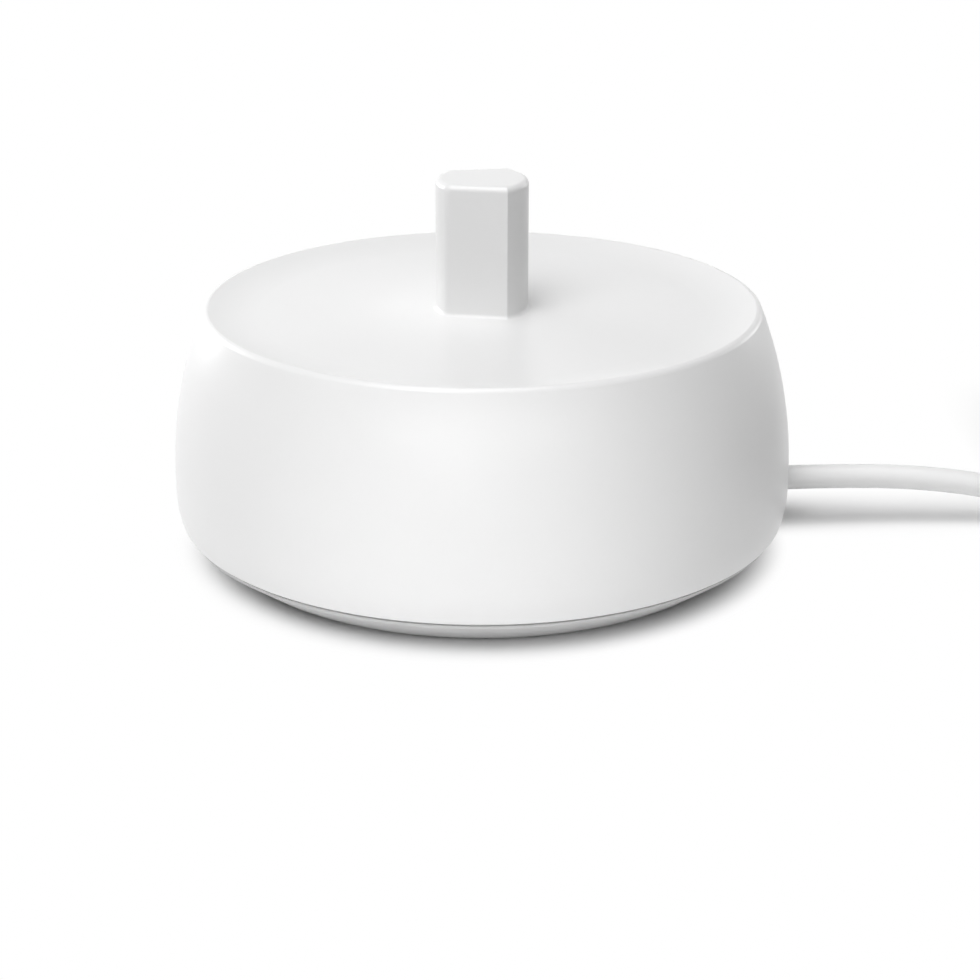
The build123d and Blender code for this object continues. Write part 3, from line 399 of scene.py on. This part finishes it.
# ---------------------------------------------------------------- can capacitor
# Reservoir capacitor. An aluminium can in a dark shrunk sleeve with a pale stripe down its negative side;
# the can's end, pressed with a relief cross, stays bare.
can_low, can_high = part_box("bulk_capacitor")
can_x, can_y = (can_low.x + can_high.x) / 2, (can_low.y + can_high.y) / 2
can_r = (can_high.x - can_low.x) / 2
stripe_from = 0.86 * can_r
bare_end = 0.35 * MM
body_low = board_high.z
tinned = srgb("#C8C8C4")


def leaded(name, body, skin, roughness, ior):
    """One surface for a body and its tinned leads, told apart by a mask that is 1 on the body."""
    material, tree, place = new_material(name)
    mask = body(tree, place)
    colour = add(tree, "ShaderNodeMix", {
        "Factor": mask, "A": tinned, "B": skin(tree, place),
    }, data_type="RGBA")
    metal = add(tree, "ShaderNodeMath", {0: 1.0, 1: mask}, operation="SUBTRACT")
    rough = add(tree, "ShaderNodeMapRange", {"Value": mask, "To Min": 0.28, "To Max": roughness})
    grain = add(tree, "ShaderNodeTexNoise", {"Vector": place, "Scale": 1 / (0.15 * MM), "Detail": 2.0})
    bump = add(tree, "ShaderNodeBump", {
        "Height": grain.outputs["Fac"], "Strength": 0.5, "Distance": 0.006 * MM,
    })
    finish(tree, add(tree, "ShaderNodeBsdfPrincipled", {
        "Base Color": colour.outputs["Result"], "Roughness": rough.outputs["Result"],
        "Metallic": metal.outputs[0], "Normal": bump.outputs["Normal"], "IOR": ior,
    }))
    return material


def above(height):
    """Body of an upright part: all that is higher than its leads."""
    def mask(tree, place):
        z = add(tree, "ShaderNodeSeparateXYZ", {0: place}).outputs["Z"]
        return add(tree, "ShaderNodeMath", {0: z, 1: height}, operation="GREATER_THAN").outputs[0]
    return mask


def shades(low, high, scale=500.0):
    """Skin of two close shades in fine clouds."""
    def skin(tree, place):
        cloud = add(tree, "ShaderNodeTexNoise", {"Vector": place, "Scale": scale, "Detail": 2.0})
        mix = add(tree, "ShaderNodeMix", {
            "Factor": cloud.outputs["Fac"], "A": srgb(low), "B": srgb(high),
        }, data_type="RGBA")
        return mix.outputs["Result"]
    return skin


def sleeve(tree, place):
    """Shrunk sleeve with its stripe on the side away from the stud, and the can's bare end."""
    centred = add(tree, "ShaderNodeMapping", {"Vector": place, "Location": (-can_x, -can_y, 0)}).outputs[0]
    at = add(tree, "ShaderNodeSeparateXYZ", {0: centred}).outputs
    out = Vector((can_x, can_y)).normalized()
    side = add(tree, "ShaderNodeVectorMath", {0: centred, 1: (out.x, out.y, 0)}, operation="DOT_PRODUCT")
    stripe = add(
        tree, "ShaderNodeMath", {0: side.outputs["Value"], 1: stripe_from}, operation="GREATER_THAN"
    ).outputs[0]
    film = add(tree, "ShaderNodeMix", {
        "Factor": stripe, "A": srgb("#20252E"), "B": srgb("#9AA0A8"),
    }, data_type="RGBA")
    end = add(tree, "ShaderNodeMath", {0: at["Z"], 1: can_high.z - bare_end}, operation="GREATER_THAN")
    mix = add(tree, "ShaderNodeMix", {
        "Factor": end.outputs[0], "A": film.outputs["Result"], "B": srgb("#B9BBBD"),
    }, data_type="RGBA")
    return mix.outputs["Result"]


dress(leaded("pvc_sleeved_aluminium_can", above(body_low), sleeve, 0.3, 1.53), "bulk_capacitor")

# ---------------------------------------------------------------- film capacitor
# Tunes the primary winding. A flat roll of metallised film, potted in a moulded polyester box that is
# ochre, smooth and slightly waxy.
polyester = leaded("polyester_box_ochre", above(body_low), shades("#A5651C", "#B2722A"), 0.4, 1.57)
dress(polyester, "resonant_capacitor")

# ---------------------------------------------------------------- choke
# Keeps the switching noise from the mains. A drum of sintered ferrite on two leads, wound with the same
# enamelled wire between its end plates.
drum = leaded("ferrite_drum_on_leads", above(body_low), shades("#2B2B2D", "#3A3A3C", 3000.0), 0.65, 1.9)
dress(drum, "choke_core")
choke_low, choke_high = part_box("choke_winding")
choke_x, choke_y = (choke_low.x + choke_high.x) / 2, (choke_low.y + choke_high.y) / 2
choke_wire = 0.32 * MM
choke_inner = 1.55 * MM
rows = int((choke_high.z - choke_low.z) / choke_wire - 1)
layers = int(((choke_high.x - choke_low.x) / 2 - choke_inner) / choke_wire)
choke_turns = grow(
    "choke_wire", wound_tree("choke_layers", copper), [(choke_x, choke_y, choke_low.z + choke_wire / 2)],
    Inner=choke_inner, Wire=choke_wire, Pitch=(choke_high.z - choke_low.z - choke_wire) / rows,
    Turns=float(rows * layers), Per_Layer=float(rows),
)
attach(choke_turns, "root")
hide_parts("choke_winding")

# ---------------------------------------------------------------- semiconductors
# Transistor and bridge rectifier: transfer-moulded epoxy round a tinned lead frame. Black with fine filler
# in it, so dull and faintly speckled.
epoxy = shades("#161617", "#202022", 2500.0)
dress(leaded("epoxy_moulded_black_tall", above(body_low + 2.95 * MM), epoxy, 0.55, 1.55), "power_transistor")
dress(leaded("epoxy_moulded_black_flat", above(body_low + 0.45 * MM), epoxy, 0.5, 1.55), "bridge_rectifier")

# ---------------------------------------------------------------- axial parts
# Resistors, diodes and the fusible resistor, bent over and laid on the board. Bodies lacquered or moulded,
# with their value rings or cathode band painted round them.
part_r = math.hypot(can_x, can_y)
resistor_l, diode_l, fuse_l = 3.4 * MM, 3.6 * MM, 6.4 * MM


def along(tree, place, centre, turn, size_only=False):
    """Distance along a part from its middle, with its sign or as a size."""
    if centre is None:
        flat = add(tree, "ShaderNodeVectorMath", {0: place, 1: (1, 1, 0)}, operation="MULTIPLY").outputs[0]
        reach = add(tree, "ShaderNodeVectorMath", {0: flat}, operation="LENGTH").outputs["Value"]
        far = add(tree, "ShaderNodeMath", {0: reach, 1: part_r}, operation="SUBTRACT").outputs[0]
    else:
        way = (math.cos(turn), math.sin(turn), 0)
        moved = add(tree, "ShaderNodeVectorMath", {0: place, 1: centre}, operation="SUBTRACT").outputs[0]
        far = add(
            tree, "ShaderNodeVectorMath", {0: moved, 1: way}, operation="DOT_PRODUCT"
        ).outputs["Value"]
    return add(tree, "ShaderNodeMath", {0: far}, operation="ABSOLUTE").outputs[0] if size_only else far


def between(half_length, centre=None, turn=0.0):
    """Body of a part that lies along the board's radius, or along x after a turn about its own middle."""
    def mask(tree, place):
        far = along(tree, place, centre, turn, size_only=True)
        return add(tree, "ShaderNodeMath", {0: far, 1: half_length}, operation="LESS_THAN").outputs[0]
    return mask


def ringed(coat, rings, length, centre=None, turn=0.0):
    """Coat with painted rings, each given as start and end in shares of the body's length, and a colour."""
    def skin(tree, place):
        far = along(tree, place, centre, turn)
        share = add(tree, "ShaderNodeMapRange", {
            "Value": far, "From Min": -length / 2, "From Max": length / 2,
        })
        ramp = add(tree, "ShaderNodeValToRGB", {"Fac": share.outputs["Result"]})
        ramp.color_ramp.interpolation = "CONSTANT"
        ramp.color_ramp.elements[0].color = srgb(coat)
        ramp.color_ramp.elements.remove(ramp.color_ramp.elements[1])
        for start, stop, paint in rings:
            ramp.color_ramp.elements.new(start).color = srgb(paint)
            ramp.color_ramp.elements.new(stop).color = srgb(coat)
        return ramp.outputs["Color"]
    return skin


value_rings = [
    (0.16, 0.26, "#6B3A1E"), (0.36, 0.46, "#17171A"), (0.56, 0.66, "#B0282A"), (0.78, 0.86, "#A98B3C"),
]
lacquer = ringed("#B9A27C", value_rings, resistor_l)
dress(leaded("lacquered_film_resistor", between(resistor_l / 2), lacquer, 0.35, 1.5), "bias_resistors")
cathode_band = [(0.74, 0.86, "#B8B8BA")]
banded = ringed("#19191B", cathode_band, diode_l)
dress(leaded("epoxy_diode_banded", between(diode_l / 2), banded, 0.4, 1.55), "clamp_diodes")

fuse_low, fuse_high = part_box("fuse_resistor")
fuse_middle = ((fuse_low.x + fuse_high.x) / 2, (fuse_low.y + fuse_high.y) / 2, 0)
fuse_turn = math.atan2(fuse_middle[1], fuse_middle[0]) + math.pi / 2
fuse_body = between(fuse_l / 2, fuse_middle, fuse_turn)
fuse_rings = [(0.2, 0.28, "#B0282A"), (0.4, 0.48, "#17171A"), (0.6, 0.68, "#A98B3C")]
flameproof = ringed("#6F8796", fuse_rings, fuse_l, fuse_middle, fuse_turn)
dress(leaded("flameproof_lacquer_grey_blue", fuse_body, flameproof, 0.6, 1.5), "fuse_resistor")

# ---------------------------------------------------------------- mains wires
# Two insulated cores from the grommet to headed pins on the board, brown and blue. Soft extruded PVC, smooth
# and slightly glossy.
dress(tin, "inlet_terminals")
pin_low, pin_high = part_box("inlet_terminals")
outlet = math.atan2((pin_low.y + pin_high.y) / 2, (pin_low.x + pin_high.x) / 2)
wires, tree, place = new_material("pvc_cores_brown_blue")
sideways = (-math.sin(outlet), math.cos(outlet), 0)
across = add(tree, "ShaderNodeVectorMath", {0: place, 1: sideways}, operation="DOT_PRODUCT").outputs["Value"]
side = add(tree, "ShaderNodeMath", {0: across, 1: 0.0}, operation="GREATER_THAN").outputs[0]
colour = add(tree, "ShaderNodeMix", {
    "Factor": side, "A": srgb("#6A4026"), "B": srgb("#2C62A8"),
}, data_type="RGBA")
cloud = add(tree, "ShaderNodeTexNoise", {"Vector": place, "Scale": 700.0, "Detail": 2.0}).outputs["Fac"]
rough = add(tree, "ShaderNodeMapRange", {"Value": cloud, "To Min": 0.36, "To Max": 0.46})
bump = add(tree, "ShaderNodeBump", {"Height": cloud, "Strength": 0.3, "Distance": 0.02 * MM})
finish(tree, add(tree, "ShaderNodeBsdfPrincipled", {
    "Base Color": colour.outputs["Result"], "Roughness": rough.outputs["Result"],
    "Normal": bump.outputs["Normal"], "IOR": 1.53,
}))
dress(wires, "mains_leads")

# ---------------------------------------------------------------- mains lead
# Flexible two-core lead in one continuous length: out of the base, round the put-away coil and into the
# plug's boot. Extruded PVC, drawn smooth, with a soft satin skin; its grommet and boot are the same PVC.
cord_d = 2.5 * MM
coil_x, coil_stub, tail_run = 84.0 * MM, 9.4 * MM, 21.0 * MM
coil_mid_r = 15.0 * MM
coil_lift = 0.6 * MM
entry_y = 2.55 * MM
outer_r, inner_r = coil_mid_r + cord_d, coil_mid_r - cord_d
exit_r = outer_r + cord_d / 4
entry_z = coil_lift + cord_d / 2
exit_z = entry_z + 3 * cord_d
coil_y = entry_y + outer_r
outlet = math.radians(5)
outlet_r, outlet_z = 31.35 * MM, 5.2 * MM
cord_straight = 8.0 * MM
plug_z = 6.85 * MM

route = [
    (r * math.cos(outlet), r * math.sin(outlet), outlet_z) for r in (outlet_r, outlet_r + cord_straight)
]
route += [
    (48.0 * MM, 3.50 * MM, 4.75 * MM),
    (57.0 * MM, 3.00 * MM, 3.30 * MM),
    (66.0 * MM, entry_y, entry_z),
    (coil_x - coil_stub, entry_y, entry_z),
]

# the coil's turns: two inwards or outwards in a layer, then a third of a turn up to the next layer, and at
# the end a quarter of a turn that runs off outwards
points_per_turn = 24
climb = 1 / 3
run_off = 1 / 4
stages = [
    (2, outer_r, inner_r, 0), (climb, inner_r, inner_r, 1),
    (2, inner_r, outer_r, 0), (climb, outer_r, outer_r, 1),
]
stages += stages[:3]
all_turns = sum(stage[0] for stage in stages)
done, z = 0.0, entry_z
for turns, r_from, r_to, rise in stages:
    steps = round(turns * points_per_turn)
    for k in range(steps):
        at = done + turns * k / steps
        r = r_from + (r_to - r_from) * k / steps
        r += max(0.0, at - all_turns + run_off) / run_off * (exit_r - outer_r)
        a = math.radians(270) + 2 * math.pi * at
        route.append((coil_x + r * math.cos(a), coil_y + r * math.sin(a), z + rise * cord_d * k / steps))
    done += turns
    z += rise * cord_d

tail_x, tail_y = coil_x + coil_stub, coil_y - exit_r
route += [
    (coil_x, tail_y, exit_z),
    (tail_x, tail_y, exit_z),
    (tail_x + tail_run * 0.3, tail_y, exit_z),
    (tail_x + tail_run * 0.68, tail_y, plug_z),
    (tail_x + tail_run, tail_y, plug_z),
]

curve = bpy.data.curves.new("mains_lead", "CURVE")
curve.dimensions = "3D"
spline = curve.splines.new("NURBS")
spline.points.add(len(route) - 1)
for point, place in zip(spline.points, route):
    point.co = (*place, 1)
spline.order_u = 3
spline.use_endpoint_u = True
spline.resolution_u = curve.resolution_u = 4
curve.bevel_depth = cord_d / 2
curve.bevel_resolution = 6
curve.use_fill_caps = True
lead = bpy.data.objects.new("mains_lead", curve)
scene.collection.objects.link(lead)

pvc = moulded("pvc_sheath_white", "#EFEFEF", "#F2F2F2", 0.36, 0.4, 0.002, 1.53)
curve.materials.append(pvc)
dress(pvc, "cord_grommet", "plug_boot")
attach(lead, "root")
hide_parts("cord", "cord_coil", "cord_tail")
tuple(route[0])

# ---------------------------------------------------------------- tie
# Band that holds the put-away coil: a strip of soft moulded silicone, closed on itself. It is dull and a
# shade greyer than the lead.
dress(moulded("silicone_band_white", "#DADADA", "#E0E0E0", 0.62, 0.3, 0.006, 1.41), "coil_tie")

# ---------------------------------------------------------------- plug
# Flat two-pin plug, moulded round its pins and the end of the boot. Plasticised PVC from a textured tool,
# with a fine matt grain that makes it easy to grip.
dress(moulded("pvc_matt_grained_white", "#E9E9E9", "#EDEDED", 0.5, 0.35, 0.012, 1.53), "plug_body")

# ---------------------------------------------------------------- pins
# Solid brass pins, turned and nickel plated, and their insulating sleeves of black polyamide. Turning marks
# run round the metal.
turning_mark = 0.25 * MM
nickel, tree, place = new_material("brass_turned_nickel_plated")
rings = add(tree, "ShaderNodeTexWave", {
    "Vector": place, "Scale": 1 / turning_mark / 20, "Distortion": 1.5, "Detail": 1.0,
}, wave_type="BANDS", bands_direction="X").outputs["Fac"]
cloud = add(tree, "ShaderNodeTexNoise", {"Vector": place, "Scale": 500.0, "Detail": 3.0}).outputs["Fac"]
colour = add(tree, "ShaderNodeMix", {
    "Factor": cloud, "A": srgb("#C9C5BC"), "B": srgb("#D6D3CB"),
}, data_type="RGBA")
rough = add(tree, "ShaderNodeMapRange", {"Value": cloud, "To Min": 0.14, "To Max": 0.24})
bump = add(tree, "ShaderNodeBump", {"Height": rings, "Strength": 0.25, "Distance": 0.01 * MM})
finish(tree, add(tree, "ShaderNodeBsdfPrincipled", {
    "Base Color": colour.outputs["Result"], "Roughness": rough.outputs["Result"],
    "Normal": bump.outputs["Normal"], "Metallic": 1.0,
}))
dress(nickel, "plug_pins")
dress(moulded("polyamide_sleeve_black", "#1A1A1B", "#222223", 0.4, 0.25, 0.003, 1.53), "pin_sleeves")

# ---------------------------------------------------------------- floor
# Plain pale paper sweep. In a ring round the foot and in a band along the lead it shows its real shading,
# with their shadows. Masks fade it to the white background elsewhere, for the camera and in reflections
# alike, so the outer edges of these shadows are painted. Round the coil and plug the white is darkened by
# ambient occlusion, a painted shade.
half = 3.0
shadow_r, white_r = 26.5 * MM, 31.5 * MM
lead_shade_y, lead_shade_w = 6.0 * MM, 7.0 * MM
lead_shade_from, lead_shade_fade, lead_shade_to = 20.0 * MM, 55.0 * MM, 60.0 * MM
contact_reach = 20.0 * MM


def background_rays(tree):
    """1 for a ray that shows the white background: to the camera, off a gloss or through glass."""
    ray = add(tree, "ShaderNodeLightPath").outputs
    shown = ray["Is Camera Ray"]
    for other in ("Is Glossy Ray", "Is Transmission Ray"):
        shown = add(tree, "ShaderNodeMath", {0: shown, 1: ray[other]}, operation="MAXIMUM").outputs[0]
    return shown


floor_mesh = bpy.data.meshes.new("floor")
corners = [(-half, -half, 0), (half, -half, 0), (half, half, 0), (-half, half, 0)]
floor_mesh.from_pydata(corners, [], [(0, 1, 2, 3)])
floor = bpy.data.objects.new("floor", floor_mesh)
scene.collection.objects.link(floor)
floor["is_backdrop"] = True

paper, tree, where = new_material("paper_floor")
away = add(tree, "ShaderNodeVectorMath", {0: where}, operation="LENGTH").outputs["Value"]
clear = add(tree, "ShaderNodeMapRange", {
    "Value": away, "From Min": shadow_r, "From Max": white_r,
}, interpolation_type="SMOOTHSTEP").outputs["Result"]
# painted shadow band of the lead: a band on the floor a little behind it, from under the base to the coil.
# Inside it the floor's real shading shows, with the lead's own shadow. Its soft edges, fading to white,
# are painted shade.
x = add(tree, "ShaderNodeSeparateXYZ", {0: where}).outputs["X"]
y = add(tree, "ShaderNodeSeparateXYZ", {0: where}).outputs["Y"]
beside = add(tree, "ShaderNodeMath", {0: y, 1: lead_shade_y}, operation="SUBTRACT").outputs[0]
beside = add(tree, "ShaderNodeMath", {0: beside}, operation="ABSOLUTE").outputs[0]
outside = add(tree, "ShaderNodeMapRange", {
    "Value": beside, "From Min": 0.0, "From Max": lead_shade_w,
}, interpolation_type="SMOOTHSTEP").outputs["Result"]
short_of = add(tree, "ShaderNodeMath", {0: x, 1: lead_shade_from}, operation="LESS_THAN").outputs[0]
coiled = add(tree, "ShaderNodeMapRange", {
    "Value": x, "From Min": lead_shade_fade, "From Max": lead_shade_to,
}).outputs["Result"]
for end in (short_of, coiled):
    outside = add(tree, "ShaderNodeMath", {0: outside, 1: end}, operation="MAXIMUM").outputs[0]
bare = add(tree, "ShaderNodeMath", {0: clear, 1: outside}, operation="MULTIPLY").outputs[0]
white = add(tree, "ShaderNodeMath", {0: bare, 1: background_rays(tree)}, operation="MULTIPLY").outputs[0]
# painted shade round coil and plug: the white glow is darkened by ambient occlusion where they stand close
# over the floor
painted_ao_shade = add(tree, "ShaderNodeAmbientOcclusion", {"Distance": contact_reach}, samples=8).outputs["AO"]
shade = add(tree, "ShaderNodeMix", {"Factor": coiled, "A": 1.0, "B": painted_ao_shade}).outputs["Result"]
matt = add(tree, "ShaderNodeBsdfDiffuse", {"Color": srgb("#F4F4F4")}).outputs[0]
glow = add(tree, "ShaderNodeEmission", {"Strength": shade}).outputs[0]
finish(tree, add(tree, "ShaderNodeMixShader", {"Fac": white, 1: matt, 2: glow}))
floor_mesh.materials.append(paper)

# ---------------------------------------------------------------- light
# Soft studio light: a key from the front left, one box overhead and one high on the left, low ones behind
# on both sides and in front, and small ones over the table and the lead. The world is white for the camera
# and in reflections, and lights nothing else.
world = bpy.data.worlds.new("studio")
world.use_nodes = True
scene.world = world
tree = world.node_tree
tree.nodes.clear()
white = add(tree, "ShaderNodeBackground", {"Color": (1, 1, 1, 1), "Strength": background_rays(tree)})
tree.links.new(white.outputs[0], add(tree, "ShaderNodeOutputWorld").inputs[0])


def softbox(name, azimuth, elevation, distance, width, height, power, target=(0, 0, 0.015)):
    """Square-cornered area lamp that faces a target, from an azimuth that is 0 in front."""
    light = bpy.data.lights.new(name, "AREA")
    light.shape = "RECTANGLE"
    light.size, light.size_y, light.energy = width, height, power
    lamp = bpy.data.objects.new(name, light)
    scene.collection.objects.link(lamp)
    a, e = math.radians(azimuth), math.radians(elevation)
    back = Vector((math.sin(a) * math.cos(e), -math.cos(a) * math.cos(e), math.sin(e)))
    lamp.location = Vector(target) + back * distance
    lamp.rotation_mode = "QUATERNION"
    lamp.rotation_quaternion = (-back).to_track_quat("-Z", "Y")
    lamp.visible_camera = False


softbox("key", -30, 56, 0.7, 0.42, 0.42, 2.3)
softbox("overhead", 0, 88, 0.25, 0.12, 0.12, 0.225)
softbox("left_high", -90, 65, 0.5, 0.25, 0.25, 0.2)
softbox("left_low", -135, 8, 0.7, 0.2, 0.2, 1.4)
softbox("right_low", 135, 8, 0.7, 0.2, 0.2, 0.4)
softbox("front_low", -10, 10, 0.7, 0.3, 0.2, 0.27)
softbox("table_front", 0, 90, 0.04, 0.12, 0.03, 0.032, target=(0, -0.09, 0))
softbox("table_left", 0, 90, 0.06, 0.06, 0.06, 0.03, target=(-0.09, 0.05, 0))
softbox("lead_top", 0, 90, 0.03, 0.05, 0.012, 0.0012, target=(0.06, -0.003, 0))

# ---------------------------------------------------------------- camera
# Long lens in front of the base, above the rim and tilted down to it, with a small shift for the framing.
# Everything is in focus.
camera_data = bpy.data.cameras.new("camera")
camera = bpy.data.objects.new("camera", camera_data)
scene.collection.objects.link(camera)
camera_data.sensor_width = 36.0
camera_data.lens = 82.42
camera_data.shift_x = 0.0081
camera_data.clip_start, camera_data.clip_end = 0.01, 20.0
camera.location = (0.0, -0.2146, 0.08775)
camera.rotation_euler = (math.radians(90 - 21.124), 0, 0)
scene.camera = camera
scene.view_settings.view_transform = "Standard"

# ---------------------------------------------------------------- sizes
# The box round the solids, in metres.
low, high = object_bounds()
